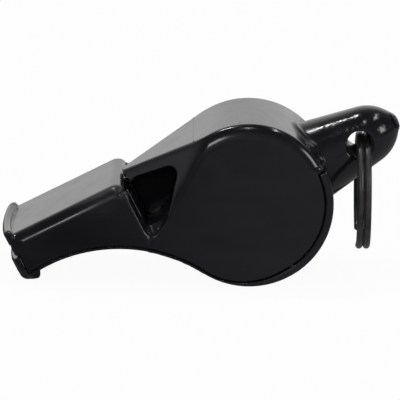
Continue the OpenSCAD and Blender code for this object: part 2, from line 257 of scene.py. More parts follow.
def mouth_shape(a, y, b):
    """The mouthpiece, with the bead and the keel of its lip."""
    lead = a - bow(y)
    view = both(b - MOUTH_TOP, a + WINDOW_BACK, REAR_ROUND)
    view = both(both(view, throat(a, b), LOW_EDGE), -MOUTH_REACH - lead, BEAD_R / 2)
    bead = np.hypot(lead + MOUTH_REACH - BEAD_R, b - MOUTH_TOP - BEAD_RISE + BEAD_R) - BEAD_R
    stem = both(np.abs(lead + MOUTH_REACH - BEAD_R) - BEAD_R,
                np.abs(b - MOUTH_TOP + BEAD_R) - BEAD_R - STEM_RISE, STEM_ROUND)
    view = either(np.minimum(view, stem), bead, BEAD_FILLET)
    keel = np.hypot(lead + KEEL_REACH, b - KEEL_UP) - KEEL_R
    wall = both(np.abs(lead + KEEL_REACH + KEEL_R - LIP_WALL / 2) - LIP_WALL / 2,
                np.maximum(b - SLOT_FLOOR, KEEL_UP - b), LIP_SHOULDER)
    view = either(view, np.minimum(keel, wall), KEEL_FILLET)
    upper = np.clip((b - SLOT_FLOOR) / EDGE_RUN, 0, 1)
    lip = np.clip((KEEL_UP + EDGE_RUN - b) / EDGE_RUN, 0, 1)
    lip = lip * np.clip((-LIP_BACK + LIP_EDGE_BACK - a) / EDGE_RUN, 0, 1)
    edge = LOW_EDGE + (MOUTH_EDGE - LOW_EDGE) * upper + (KEEL_CORNER - LOW_EDGE) * lip
    return both(view, np.abs(y) - HALF_W, edge)


def roof_axes(a, b):
    """How far a point is along the roof's slope, and up from the roof."""
    return (a * math.cos(ROOF_SLOPE) + b * math.sin(ROOF_SLOPE),
            b * math.cos(ROOF_SLOPE) - a * math.sin(ROOF_SLOPE) - CROWN_R)


def ramp_shape(a, y, b, wall=0.0):
    """What the ramps leave. The cut dies out towards the window's lower corner."""
    along, up = roof_axes(a, b)
    out = ((np.abs(y) - ROOF_TIP_HALF + wall) * math.cos(RAMP_YAW)
           - (along + ROOF_RUN) * math.sin(RAMP_YAW))
    plane = out * math.cos(RAMP_LEAN) + up * math.sin(RAMP_LEAN)
    rise = b - FADE_FOOT - FADE_SLOPE * (a + WINDOW_FRONT)
    fade = (np.abs(y) - HALF_W + wall + FADE_DEPTH * rise) / math.hypot(1, FADE_DEPTH)
    if wall:
        return np.minimum(plane, fade)
    return either(plane, fade, FADE_BLEND)


def neck_shape(a, y, b):
    """The roof and what is under it, from the crown's top line to the mouthpiece's rear end."""
    along, up = roof_axes(a, b)
    up = np.where(along > 0, np.hypot(a, b) - CROWN_R, up)
    section = both(up * CROWN_EDGE / CROWN_DEPTH, np.abs(y) - HALF_W, CROWN_EDGE)
    shape = np.maximum(np.maximum(section, throat(a, b)), -above_throat_line(a, b))
    start = -ROOF_START - a
    return np.maximum(shape, np.minimum(start, np.maximum(b - SLOT_TOP, start - LOW_LAP)))


def lug_shape(a, y, b, grow=0.0):
    """The lug's cone and nose, with a true arc between them."""
    off_axis = np.hypot(y, b - LUG_UP) - grow
    cone = off_axis * math.cos(LUG_TAPER) + a * math.sin(LUG_TAPER) - LUG_LINE
    nose = off_axis * math.cos(NOSE_ANGLE) + a * math.sin(NOSE_ANGLE) - NOSE_LINE
    turn = np.arctan2(a - DOME_A, off_axis - DOME_UP)
    dome = np.hypot(a - DOME_A, off_axis - DOME_UP) - NOSE_ROUND
    within = (turn > LUG_TAPER) & (turn < NOSE_ANGLE)
    shape = np.where(within, dome, np.maximum(cone, nose))
    return np.maximum(both(shape, a - LUG_REACH, GATE_EDGE), LUG_START - a)


def collar_shape(a, y, b):
    """The raised collar over the upper half of the lug's root."""
    off_axis = np.hypot(y, b - LUG_UP)
    cone = (off_axis - COLLAR_T) * math.cos(LUG_TAPER) + a * math.sin(LUG_TAPER) - LUG_LINE
    top = np.hypot(a, b) - CROWN_R - COLLAR_H
    return np.maximum(both(both(cone, top, COLLAR_EDGE), LUG_UP - b, COLLAR_EDGE), LUG_START - a)


def outside_eye(a, b):
    """What the lug's eye leaves."""
    return EYE_R - np.hypot(a - EYE_REACH, b - LUG_UP)


def within_seam(a, b, depth, drop=0.0):
    """The upper body's share of the side view: what lies further in than this depth.
    The line comes nearer to the belly's edge towards the mouthpiece."""
    depth = depth * (1 - BELLY_SHARE * np.clip(-a / BELLY_RUN, 0, 1))
    ring = np.hypot(a, b) - DRUM_R + depth
    lug = np.maximum(LUG_UP - drop - b, LUG_SIDE_FROM - a)
    slots = np.maximum(SLOT_FLOOR - drop - b, a - SLOT_SIDE_TO)
    mouth = np.maximum(np.maximum(throat(a, b, depth), -above_throat_line(a, b)),
                       np.maximum(-LIP_BACK - drop - a, a))
    return np.minimum(np.minimum(ring, lug), np.minimum(slots, mouth))


def window_shape(a, y, b):
    """A window: upright front, leaning rear, and a sill that falls outwards."""
    sill = (WINDOW_FOOT - b + SILL_SLOPE * np.clip(HALF_W - np.abs(y), 0, SILL_REACH)) * SILL_SHARE
    lean = ((a + WINDOW_REAR) * math.sin(WINDOW_LEAN)
            - (b - SLOT_TOP) * math.cos(WINDOW_LEAN))
    sides = both(-WINDOW_FRONT - a, lean, WINDOW_CORNER)
    return both(both(sides, sill, WINDOW_CORNER), b - SLOT_TOP, WINDOW_TOP_CORNER)


def chamber(a, y, b, side):
    """One chamber, with the air's way over its sounding edge. The far one is a little smaller."""
    radius = CROWN_R - CROWN_WALL - (CHAMBER_OFFSET if side > 0 else 0)
    over_edge = np.maximum(np.maximum(b - SLOT_TOP, a),
                           (EDGE_HEIGHT - EDGE_REACH - a - b) * DIAGONAL_SHARE)
    low = np.maximum(above_throat_line(a, b), b - LUG_UP)
    view = np.minimum(np.minimum(np.hypot(a, b) - radius, over_edge), low)
    return np.maximum(view, np.maximum(WEB_HALF - side * y, side * y - INNER_HALF))


def seam_round(a):
    """How round the seam's edges are: open at the drum and tight along the mouthpiece."""
    return np.where(a > -GROOVE_REACH, SEAM_ROUND, SEAM_TIGHT)


def crown_shape(a, y, b):
    """The upper body's drum and roof. The crown's rounded edge flattens out towards the shell."""
    rounded = drum_shape(a, y, b, CROWN_R, CROWN_EDGE, CROWN_DEPTH)
    share = np.clip((b - LUG_UP) / CROWN_END, 0, 1)
    return np.minimum(rounded * share + shell_drum(a, y, b) * (1 - share), neck_shape(a, y, b))


def upper_hull(a, y, b):
    """The upper body without its lug, before its seam, its hollows and its windows are cut."""
    outer = np.minimum(crown_shape(a, y, b), mouth_shape(a, y, b))
    return both(outer, np.minimum(ramp_shape(a, y, b), a + WINDOW_BACK), RAMP_CREASE)


def upper_field(a, y, b):
    """The whole upper body."""
    outer = both(upper_hull(a, y, b), within_seam(a, b, SHELL_T), seam_round(a))
    mouth_hollow = np.maximum(np.abs(y) - INNER_HALF, np.maximum(a + WINDOW_BACK, b - SLOT_TOP))
    ledge_hollow = np.maximum(np.abs(y) - INNER_HALF,
                              -within_seam(a, b, SHELL_T + LEDGE_T + SEAM_GAP, -SEAM_GAP))
    rooms = np.minimum(chamber(a, y, b, -1), chamber(a, y, b, 1))
    rooms = np.maximum(rooms, ramp_shape(a, y, b, RAMP_WALL))
    solid = np.maximum(np.maximum(outer, -mouth_hollow), np.maximum(-ledge_hollow, -rooms))
    lug = either(lug_shape(a, y, b), collar_shape(a, y, b), LUG_FILLET)
    solid = either(solid, lug, LUG_FILLET)
    solid = both(solid, outside_eye(a, b), EYE_RIM)
    window = np.maximum(window_shape(a, y, b), WEB_HALF - np.abs(y))
    return both(solid, -window, WINDOW_RIM)


def upper_outside(a, y, b):
    """The upper body's outer form alone, from which the depth inside it is read."""
    return np.minimum(upper_hull(a, y, b), lug_shape(a, y, b))


def lower_outside(a, y, b):
    """The closing shell's outer form alone."""
    mouth_and_neck = np.minimum(mouth_shape(a, y, b), neck_shape(a, y, b))
    return np.minimum(mouth_and_neck, shell_drum(a, y, b))


def lower_field(a, y, b):
    """The whole closing shell: a wide band under the body, and a tongue that fits between its walls."""
    wide = np.maximum(within_seam(a, b, SHELL_T - SEAM_GAP, SEAM_GAP),
                      INNER_HALF - SEAM_GAP - np.abs(y))
    groove = np.maximum(np.maximum(within_seam(a, b, SHELL_T - GROOVE_W, GROOVE_W),
                                   HALF_W - GROOVE_D - np.abs(y)), -GROOVE_REACH - a)
    solid = np.maximum(lower_outside(a, y, b), -within_seam(a, b, SHELL_T + LEDGE_T, SEAM_GAP))
    solid = np.maximum(solid, -wide)
    solid = both(solid, -groove, SEAM_ROUND)
    return np.maximum(solid, -lug_shape(a, y, b, SEAM_GAP))


# Meshes from the signed distances. A grid cell's eight corners, as steps from its first one
CORNERS = [(i, j, k) for i in (0, 1) for j in (0, 1) for k in (0, 1)]
# A slope is read over this distance each way
DIFFERENCE = 0.02
# How often points are pulled to the surface, and how far at most, as a share of the grid's step
PULL_PASSES = 3
PULL_SHARE = 0.6
# The least values to divide by: a slope's square and a normal's length
LEAST_SQUARE = 0.25
LEAST_LENGTH = 1e-6


def surface_cells(inside):
    """The grid cells that the surface runs through, and a grid with their numbers."""
    cells = [length - 1 for length in inside.shape]
    count = np.zeros(cells, np.int8)
    for i, j, k in CORNERS:
        count += inside[i:i + cells[0], j:j + cells[1], k:k + cells[2]]
    found = np.argwhere((count > 0) & (count < len(CORNERS)))
    number = np.full(cells, -1, np.int32)
    number[tuple(found.T)] = np.arange(len(found))
    return found, number


def mean_crossings(value, found):
    """The mean of the places where the surface cuts each found cell's edges, in grid steps."""
    total = np.zeros((len(found), 3))
    hits = np.zeros(len(found))
    for corner in CORNERS:
        for axis in range(3):
            if corner[axis]:
                continue
            other = list(corner)
            other[axis] = 1
            here = value[tuple((found + corner).T)].astype(float)
            there = value[tuple((found + other).T)].astype(float)
            cut = (here < 0) != (there < 0)
            share = np.where(cut, here / np.where(cut, here - there, 1), 0)
            spot = np.array(corner, float) + np.outer(share, np.eye(3)[axis])
            total += spot * cut[:, None]
            hits += cut
    return found + total / hits[:, None]


def slope(field, points):
    """The field at the points, and its gradient there."""
    sides = [field(*(points + DIFFERENCE * way).T) - field(*(points - DIFFERENCE * way).T)
             for way in np.eye(3)]
    return field(*points.T), np.stack(sides, 1) / (2 * DIFFERENCE)


def pull_to_surface(field, points, step):
    """The points moved onto the field's zero surface, and the surface's normals there."""
    home = points.copy()
    reach = PULL_SHARE * step
    for _ in range(PULL_PASSES):
        value, gradient = slope(field, points)
        move = gradient * (value / np.maximum((gradient ** 2).sum(1), LEAST_SQUARE))[:, None]
        points = home + np.clip(points - move - home, -reach, reach)
    normals = slope(field, points)[1]
    normals /= np.maximum(np.linalg.norm(normals, axis=1), LEAST_LENGTH)[:, None]
    return points, normals


def surface_quads(inside, number):
    """A quad around each grid edge that the surface cuts, wound so that it faces outwards."""
    quads = []
    for axis in range(3):
        first = [slice(None)] * 3
        second = [slice(None)] * 3
        first[axis] = slice(None, -1)
        second[axis] = slice(1, None)
        spots = np.argwhere(inside[tuple(first)] != inside[tuple(second)])
        others = [n for n in range(3) if n != axis]
        for n in others:
            spots = spots[(spots[:, n] > 0) & (spots[:, n] < number.shape[n])]
        one, two = np.eye(3, dtype=int)[others]
        shifts = (one + two, two, 0 * one, one)
        quad = np.stack([number[tuple((spots - shift).T)] for shift in shifts], 1)
        flip = inside[tuple(spots.T)] == (axis == 1)
        quad[flip] = quad[flip][:, ::-1]
        quads.append(quad)
    return np.concatenate(quads)


def net(field, low, high, step):
    """A closed mesh of quads on the field's zero surface, and its normals there."""
    axes = [np.arange(start - step / 2, end + step, step, dtype=np.float32)
            for start, end in zip(low, high)]
    value = field(axes[0][:, None, None], axes[1][None, :, None], axes[2][None, None, :])
    inside = value < 0
    found, number = surface_cells(inside)
    origin = np.array([axis[0] for axis in axes], float)
    points = origin + step * mean_crossings(value, found)
    points, normals = pull_to_surface(field, points, step)
    return points, normals, surface_quads(inside, number)


# Plain meshes. A tube's end faces have a share of its radius, and its full section starts this
# share of the radius further in
TUBE_SIDES = 8
TUBE_END_SHARE = 0.82
TUBE_END_STEP = 0.25
TUBE_SHARP = math.radians(50)


def whistle_point(a, y, b):
    """A point of the whistle's own frame, in millimetres, in the row frame."""
    cosine = math.cos(REST_TILT)
    sine = math.sin(REST_TILT)
    return DRUM_CENTRE + Vector((a * cosine - b * sine, y, a * sine + b * cosine)) * MM


def new_object(name, mesh):
    """An object in the scene, with a mesh, a lamp's data or a camera's."""
    obj = bpy.data.objects.new(name, mesh)
    bpy.context.scene.collection.objects.link(obj)
    return obj


def mesh_object(name, points, faces):
    """A mesh object whose faces are turned outwards."""
    mesh = bpy.data.meshes.new(name)
    mesh.from_pydata([tuple(point) for point in points], [], faces)
    mesh.validate()
    build = bmesh.new()
    build.from_mesh(mesh)
    bmesh.ops.recalc_face_normals(build, faces=build.faces)
    build.to_mesh(mesh)
    build.free()
    return new_object(name, mesh)


def tube(name, centre, out, radius, sides=TUBE_SIDES):
    """A round tube along points. out gives each point a direction across it, where its sides begin."""
    last = len(centre) - 1
    stops = [(0, TUBE_END_SHARE, 0)]
    stops += [(i, 1, TUBE_END_STEP * radius * ((i == 0) - (i == last))) for i in range(last + 1)]
    stops += [(last, TUBE_END_SHARE, 0)]
    points = []
    rows = []
    for i, share, shift in stops:
        ahead = (centre[min(i + 1, last)] - centre[max(i - 1, 0)]).normalized()
        up = (out[i] - ahead * out[i].dot(ahead)).normalized()
        side = ahead.cross(up)
        rows.append(range(len(points), len(points) + sides))
        for j in range(sides):
            turn = 2 * math.pi * j / sides
            points.append(centre[i] + ahead * shift
                          + radius * share * (math.cos(turn) * up + math.sin(turn) * side))
    faces = [(row[j], row[(j + 1) % sides], after[(j + 1) % sides], after[j])
             for row, after in zip(rows, rows[1:]) for j in range(sides)]
    faces += [tuple(rows[0]), tuple(rows[-1])]
    obj = mesh_object(name, points, faces)
    obj.data.shade_smooth()
    obj.data.set_sharp_from_angle(angle=TUBE_SHARP)
    return obj


# Camera, at the photograph's viewing angle. The sensor is in millimetres
PHOTO_SIZE = 400
CAMERA_ELEVATION = math.radians(14.16)
CAMERA_AZIMUTH = math.radians(0.057)
CAMERA_ROLL = math.radians(0.264)
CAMERA_DISTANCE = 0.65
FOCAL_PIXELS = 4635
CENTRE_PIXEL = (201.05, 188.89)
SENSOR = 36
NEAR_CLIP = 0.01
FAR_CLIP = 20


def add_camera():
    """The photograph's camera, which has what it aims at on the centre pixel."""
    data = bpy.data.cameras.new("photo_camera")
    camera = new_object("photo_camera", data)
    ahead = Vector((math.sin(CAMERA_AZIMUTH) * math.cos(CAMERA_ELEVATION),
                    math.cos(CAMERA_AZIMUTH) * math.cos(CAMERA_ELEVATION),
                    -math.sin(CAMERA_ELEVATION)))
    level = Vector((math.cos(CAMERA_AZIMUTH), -math.sin(CAMERA_AZIMUTH), 0))
    above = level.cross(ahead)
    right = math.cos(CAMERA_ROLL) * level + math.sin(CAMERA_ROLL) * above
    up = math.cos(CAMERA_ROLL) * above - math.sin(CAMERA_ROLL) * level
    target = Vector((0, 0, DRUM_CENTRE.z))
    turn = Matrix((right, up, -ahead)).transposed().to_4x4()
    camera.matrix_world = Matrix.Translation(target - CAMERA_DISTANCE * ahead) @ turn
    data.sensor_width = SENSOR
    data.lens = SENSOR * FOCAL_PIXELS / PHOTO_SIZE
    data.shift_x = (PHOTO_SIZE / 2 - CENTRE_PIXEL[0]) / PHOTO_SIZE
    data.shift_y = (CENTRE_PIXEL[1] - PHOTO_SIZE / 2) / PHOTO_SIZE
    data.clip_start = NEAR_CLIP
    data.clip_end = FAR_CLIP
    bpy.context.scene.camera = camera


class Nodes:
    """Short forms to add nodes to a cleared tree and to join them."""

    def __init__(self, tree):
        self.tree = tree
        tree.nodes.clear()

    def add(self, kind, **settings):
        """A node. Words set its properties, and other values the sockets of that name."""
        node = self.tree.nodes.new("ShaderNode" + kind)
        for key, value in settings.items():
            if isinstance(value, str):
                setattr(node, key, value)
            else:
                node.inputs[key].default_value = value
        return node

    def join(self, source, output, target, socket):
        """Joins one node's output to another one's socket."""
        self.tree.links.new(source.outputs[output], target.inputs[socket])

    def calc(self, operation, source, output, *values):
        """A calculation on an output. The values fill the sockets that follow."""
        node = self.add("Math", operation=operation)
        self.join(source, output, node, 0)
        for socket, value in enumerate(values, 1):
            node.inputs[socket].default_value = value
        return node

    def plus_share(self, base, source, share):
        """A base value plus this share of a source's factor."""
        node = self.calc("MULTIPLY_ADD", source, "Fac", share)
        self.join(base, 0, node, 2)
        return node

    def ramp(self, source, output, stops):
        """A colour ramp over stops of a position and a grey level or a colour."""
        node = self.add("ValToRGB")
        elements = node.color_ramp.elements
        while len(elements) < len(stops):
            elements.new(0.5)
        for element, (position, value) in zip(elements, stops):
            element.position = position
            element.color = value if hasattr(value, "__len__") else (value, value, value, 1)
        self.join(source, output, node, 0)
        return node

    def map_range(self, source, output, before, after):
        """An output's span before, mapped to the span after."""
        ends = {"From Min": before[0], "From Max": before[1], "To Min": after[0], "To Max": after[1]}
        node = self.add("MapRange", **ends)
        self.join(source, output, node, 0)
        return node

    def noise(self, place, output, **settings):
        """A noise texture over a place."""
        node = self.add("TexNoise", **settings)
        self.join(place, output, node, "Vector")
        return node

    def bump(self, height, under, **settings):
        """A bump by a noise's factor, over another bump or none."""
        node = self.add("Bump", **settings)
        self.join(height, "Fac", node, "Height")
        if under:
            self.join(under, "Normal", node, "Normal")
        return node

    def mix(self, share, output, first, second):
        """The first shader at no share, and the second one at a full share."""
        node = self.add("MixShader")
        self.join(share, output, node, 0)
        self.join(first, 0, node, 1)
        self.join(second, 0, node, 2)
        return node

    def direct(self, paths):
        """One for rays from the camera, also through glass, and zero for others."""
        node = self.calc("MAXIMUM", paths, "Is Camera Ray")
        self.join(paths, "Is Transmission Ray", node, 1)
        return node


# Studio
WHITE = (1, 1, 1, 1)
AMBIENT = 0.5
# How bright the room is that glossy surfaces see: from its front to the white wall at its back,
# and from its middle to its left
BACK_STOPS = [(0.0, 0.3), (0.12, 0.08), (0.6, 0.06), (0.78, 0.25), (0.92, 1.0)]
LEFT_STOPS = [(0.7, 0.0), (0.95, 0.45)]
FLOOR_REACH = 3
FLOOR_COLOUR = (0.8, 0.8, 0.8, 1)
FLOOR_WHITE_SHARE = 0.95
# Glossy surfaces see the table in front of them dim, and dimmer to the left
FLOOR_MIRRORED_SPAN = (-16 * MM, 9 * MM)
FLOOR_MIRRORED = (0.08, 0.26)
# Each lamp's direction from the object and its distance, the width and height of its face,
# and how bright the face is
LAMPS = {
    "overhead_strip": dict(direction=(-0.32, 0.22, 0.93), distance=0.6, width=0.1, height=0.03,
                           radiance=95),
    "left_tube": dict(direction=(0, -0.42, 1), distance=0.6, width=0.015, height=0.16, radiance=22),
    "right_tube": dict(direction=(0.45, 0.05, 1), distance=0.6, width=0.015, height=0.3, radiance=26),
    "left_strip": dict(direction=(-0.3, -0.88, 0.38), distance=0.6, width=0.1, height=0.1, radiance=9),
    "right_softbox": dict(direction=(0.8, -0.44, 0.36), distance=0.7, width=0.24, height=0.2,
                          radiance=6),
}


def add_world():
    """A studio that the camera sees white. Glossy surfaces see a dim room with bright walls."""
    world = bpy.data.worlds.new("studio")
    bpy.context.scene.world = world
    world.use_nodes = True
    nodes = Nodes(world.node_tree)
    paths = nodes.add("LightPath")
    place = nodes.add("TexCoord")
    parts = nodes.add("SeparateXYZ")
    nodes.join(place, "Generated", parts, 0)
    # From 0 at the front to 1 at the back
    depth = nodes.calc("MULTIPLY_ADD", parts, "Y", 0.5, 0.5)
    back = nodes.ramp(depth, 0, BACK_STOPS)
    side = nodes.calc("MULTIPLY", parts, "X", -1)
    left = nodes.ramp(side, 0, LEFT_STOPS)
    room = nodes.calc("MAXIMUM", back, "Color")
    nodes.join(left, "Color", room, 1)
    plain = nodes.add("Background", Color=WHITE, Strength=AMBIENT)
    seen = nodes.add("Background", Color=WHITE, Strength=1)
    mirrored = nodes.add("Background", Strength=1)
    nodes.join(room, 0, mirrored, "Color")
    lighting = nodes.mix(paths, "Is Glossy Ray", plain, mirrored)
    whole = nodes.mix(nodes.direct(paths), 0, lighting, seen)
    nodes.join(whole, 0, nodes.add("OutputWorld"), 0)


def add_lamp(name, direction, distance, width, height, radiance):
    """A softbox that faces the object. Its power follows from how bright its face is."""
    data = bpy.data.lights.new(name, "AREA")
    data.shape = "RECTANGLE"
    data.size = width
    data.size_y = height
    data.energy = radiance * math.pi * width * height
    lamp = new_object(name, data)
    lamp.location = Vector(direction).normalized() * distance
    # Its height runs as far along Y as it can
    back = lamp.location.normalized()
    across = Vector((0, 1, 0)).cross(back).normalized()
    lamp.rotation_euler = Matrix((across, back.cross(across), back)).transposed().to_euler()


def floor_material():
    """Pale paper that the camera sees white. Part of the lit paper keeps the object's shadow."""
    material, nodes = new_material("pale_floor")
    paths = nodes.add("LightPath")
    paper = nodes.add("BsdfDiffuse", Color=FLOOR_COLOUR)
    white = nodes.add("Emission", Color=WHITE, Strength=1)
    place = nodes.add("TexCoord")
    parts = nodes.add("SeparateXYZ")
    nodes.join(place, "Object", parts, 0)
    shade = nodes.map_range(parts, "X", FLOOR_MIRRORED_SPAN, FLOOR_MIRRORED)
    dim = nodes.add("Emission", Color=WHITE)
    nodes.join(shade, 0, dim, "Strength")
    share = nodes.calc("MULTIPLY", nodes.direct(paths), 0, FLOOR_WHITE_SHARE)
    seen = nodes.mix(share, 0, paper, white)
    whole = nodes.mix(paths, "Is Glossy Ray", seen, dim)
    nodes.join(whole, 0, nodes.add("OutputMaterial"), 0)
    return material


def add_floor():
    """The ground, which isn't part of the object."""
    corners = [(-FLOOR_REACH, -FLOOR_REACH, 0), (FLOOR_REACH, -FLOOR_REACH, 0),
               (FLOOR_REACH, FLOOR_REACH, 0), (-FLOOR_REACH, FLOOR_REACH, 0)]
    floor = mesh_object("floor", corners, [(0, 1, 2, 3)])
    floor.data.materials.append(floor_material())


# Materials. Colours are linear, scales are per metre and depths are in metres
PLASTIC_IOR = 1.5
PLASTIC_DARK = (0.0046, 0.0044, 0.0062, 1)
PLASTIC_LIGHT = (0.0088, 0.0084, 0.0114, 1)
FLOW_STRETCH = (90, 260, 260)
FLOW_STOPS = [(0.3, PLASTIC_DARK), (0.75, PLASTIC_LIGHT)]
SMEAR_SPAN = (0.35, 0.7)
POLISHED = 0.13
SMEARED = 0.24
# The specular level on the outside, and the far lower one deep in a hollow, which paints shade there
SHINE = (0.5, 0.06)
# What a place adds to the roughness
LUG_ROUGHER = -0.04
INSIDE_ROUGHER = 0.35
WORN_ROUGHER = 0.22
RIPPLE_DEPTH = 0.02 * MM
GRAIN_DEPTH = 0.004 * MM
WRINKLE_DEPTH = 0.036 * MM
BLOCK_DULLER = 0.2
METAL_SHARE = 0.75
METAL_IOR = 1.6
METAL_DARK = (0.044, 0.042, 0.042, 1)
METAL_WORN = (0.105, 0.1, 0.099, 1)
WEAR_STOPS = [(0.35, METAL_DARK), (0.72, METAL_WORN)]
WEAR_SPAN = (0.3, 0.7)
METAL_ROUGHNESS = (0.28, 0.44)
MARK_DEPTH = 0.01 * MM


def new_material(name):
    """A material, and the short forms for its cleared tree."""
    material = bpy.data.materials.new(name)
    material.use_nodes = True
    return material, Nodes(material.node_tree)


def shell_material(name, duller=0.0):
    """Glossy black moulded plastic: faint flow streaks, handling smears, a ripple and fine grain.
    It reads where the skin is inside, coarse or worn from the mesh."""
    material, nodes = new_material(name)
    place = nodes.add("TexCoord")
    shader = nodes.add("BsdfPrincipled", IOR=PLASTIC_IOR)
    nodes.join(shader, "BSDF", nodes.add("OutputMaterial"), 0)
    inside = nodes.add("Attribute", attribute_name="inside")
    coarse = nodes.add("Attribute", attribute_name="coarse")
    worn = nodes.add("Attribute", attribute_name="worn")

    # Deep in the hollows the specular level drops far below the outside's: painted shade that darkens
    # them
    specular_with_hollow_shade = nodes.map_range(inside, "Fac", (0, 1), SHINE)
    nodes.join(specular_with_hollow_shade, 0, shader, "Specular IOR Level")

    # Colour: near black with soft flow marks along the moulding
    stretch = nodes.add("Mapping", Scale=FLOW_STRETCH, Rotation=(0, REST_TILT, 0))
    nodes.join(place, "Object", stretch, 0)
    flow = nodes.noise(stretch, 0, Scale=1, Detail=4, Roughness=0.6, Distortion=0.6)
    nodes.join(nodes.ramp(flow, "Fac", FLOW_STOPS), 0, shader, "Base Color")

    # Roughness: polished, with duller smears
    smear = nodes.noise(place, "Object", Scale=140, Detail=5, Roughness=0.65, Distortion=1.2)
    rough = nodes.map_range(smear, "Fac", SMEAR_SPAN, (POLISHED + duller, SMEARED + duller))
    rough = nodes.plus_share(rough, coarse, LUG_ROUGHER)
    rough = nodes.plus_share(rough, inside, INSIDE_ROUGHER)
    rough = nodes.plus_share(rough, worn, WORN_ROUGHER)
    nodes.join(rough, 0, shader, "Roughness")

    # Bump: a slow ripple of the moulded walls, fine grain, and the lug's coarser wrinkles
    ripple = nodes.noise(place, "Object", Scale=260, Detail=3, Roughness=0.5)
    grain = nodes.noise(place, "Object", Scale=5000, Detail=4, Roughness=0.6)
    wrinkle = nodes.noise(place, "Object", Scale=1400, Detail=2, Roughness=0.6)
    slow = nodes.bump(ripple, None, Strength=0.3, Distance=RIPPLE_DEPTH)
    fine = nodes.bump(grain, slow, Strength=0.2, Distance=GRAIN_DEPTH)
    rugged = nodes.bump(wrinkle, fine, Distance=WRINKLE_DEPTH)
    nodes.join(coarse, "Fac", rugged, "Strength")
    nodes.join(rugged, "Normal", shader, "Normal")
    return material


def ring_material(name):
    """Dark satin metal wire, with fine marks and worn spots."""
    material, nodes = new_material(name)
    place = nodes.add("TexCoord")
    shader = nodes.add("BsdfPrincipled", Metallic=METAL_SHARE, IOR=METAL_IOR)
    nodes.join(shader, "BSDF", nodes.add("OutputMaterial"), 0)
    wear = nodes.noise(place, "Object", Scale=420, Detail=6, Roughness=0.7)
    nodes.join(nodes.ramp(wear, "Fac", WEAR_STOPS), 0, shader, "Base Color")
    nodes.join(nodes.map_range(wear, "Fac", WEAR_SPAN, METAL_ROUGHNESS), 0, shader, "Roughness")
    marks = nodes.noise(place, "Object", Scale=2600, Detail=3, Roughness=0.6)
    bump = nodes.bump(marks, None, Strength=0.25, Distance=MARK_DEPTH)
    nodes.join(bump, "Normal", shader, "Normal")
    return material


def dress(obj, material, body=None):
    """Gives an object its only material and its slot, and a new piece its body as well."""
    obj.data.materials.clear()
    obj.data.materials.append(material)
    if body:
        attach(obj, body)


# The black mouldings: the grids' steps and boxes, in millimetres in the whistle's own frame
UPPER_STEP = 0.25
LOWER_STEP = 0.2
UPPER_BOX = ((-34.6, -9.7, -11.2), (23.5, 9.7, 12.2))
LOWER_BOX = ((-34.6, -9.7, -12.2), (12.3, 9.7, 8.4))
# The hollows turn duller and take on their painted shade over this depth, and only above this height
INSIDE_DEPTH = 1.0
GLOSS_BELOW = 3.6
# The lug's skin turns coarse over this run
LUG_GRAIN_FROM = 12.4
LUG_GRAIN_RUN = 1.0
# The mouthpiece's top edges are worn in this stretch and this near to a line along them
WORN_FROM = -22.0
WORN_RUN = 4.0
WORN_TO = -13.0
WORN_UP = 9.4
WORN_OUT = 8.9
WORN_REACH = 2.4
WORN_FADE = 1.4


def inside_share(outside, a, y, b):
    """How far inside the outer form a point is, from 0 to 1. Low down it counts as outside."""
    depth = np.clip(-outside(a, y, b) / INSIDE_DEPTH, 0, 1)
    return depth * np.clip((b - GLOSS_BELOW) / INSIDE_DEPTH, 0, 1)


def coarse_share(a):
    """How coarse the skin is: only the lug's is."""
    return np.clip((a - LUG_GRAIN_FROM) / LUG_GRAIN_RUN, 0, 1)


def worn_share(a, y, b):
    """How worn the skin is at the top edges of the mouthpiece's rear end."""
    along = np.clip((a - WORN_FROM) / WORN_RUN, 0, 1) * np.clip(WORN_TO - a, 0, 1)
    gap = np.hypot(b - WORN_UP, np.abs(y) - WORN_OUT)
    return along * np.clip((WORN_REACH - gap) / WORN_FADE, 0, 1)


def add_skin(name, field, outside, box, step, node, material):
    """A moulding drawn as one smooth closed skin, in place of its CAD node."""
    points, normals, quads = net(field, *box, step)
    cosine = math.cos(REST_TILT)
    sine = math.sin(REST_TILT)
    turn = np.array([[cosine, 0, -sine], [0, 1, 0], [sine, 0, cosine]])
    places = points @ turn.T * MM + np.array(DRUM_CENTRE)
    mesh = bpy.data.meshes.new(name)
    mesh.vertices.add(len(places))
    mesh.vertices.foreach_set("co", places.ravel())
    mesh.loops.add(quads.size)
    mesh.loops.foreach_set("vertex_index", quads.ravel())
    mesh.polygons.add(len(quads))
    mesh.polygons.foreach_set("loop_start", np.arange(0, quads.size, 4))
    mesh.update(calc_edges=True)
    mesh.validate()
    mesh.shade_smooth()
    mesh.normals_split_custom_set_from_vertices((normals @ turn.T).tolist())
    marks = {"inside": inside_share(outside, *points.T),
             "coarse": coarse_share(points[:, 0]),
             "worn": worn_share(*points.T)}
    for mark, shares in marks.items():
        mesh.attributes.new(mark, "FLOAT", "POINT").data.foreach_set("value", shares)
    obj = new_object(name, mesh)
    dress(obj, material, "whistle")
    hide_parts(node)


# Fine raised lines where two mould parts met. Their surface is sought this far off, by halves
SEARCH_REACH = 14
HALVINGS = 30
# The lug's lines keep clear of the eye's centre and stop short of the lug's tip
LUG_LINE_RADIUS = 0.09
LUG_LINE_SINK = 0.035
LUG_LINE_FROM = 13.2
LUG_LINE_STOP = 0.35
EYE_CLEAR = 2.4
ROOT_POINTS = 10
NOSE_POINTS = 18
# The insert's lines run across the drum, at these degrees up from the lug's direction
INSERT_LINE_RADIUS = 0.06
INSERT_LINE_SINK = 0.035
INSERT_ANGLES = (105.4, 70.2)
INSERT_HALF = 7.4
INSERT_POINTS = 13


def surface_reach(field, start, direction):
    """How far from start the field's surface lies along a direction."""
    low = 0.0
    high = SEARCH_REACH
    for _ in range(HALVINGS):
        middle = (low + high) / 2
        spot = [np.array(place + middle * way) for place, way in zip(start, direction)]
        if field(*spot) < 0:
            low = middle
        else:
            high = middle
    return low


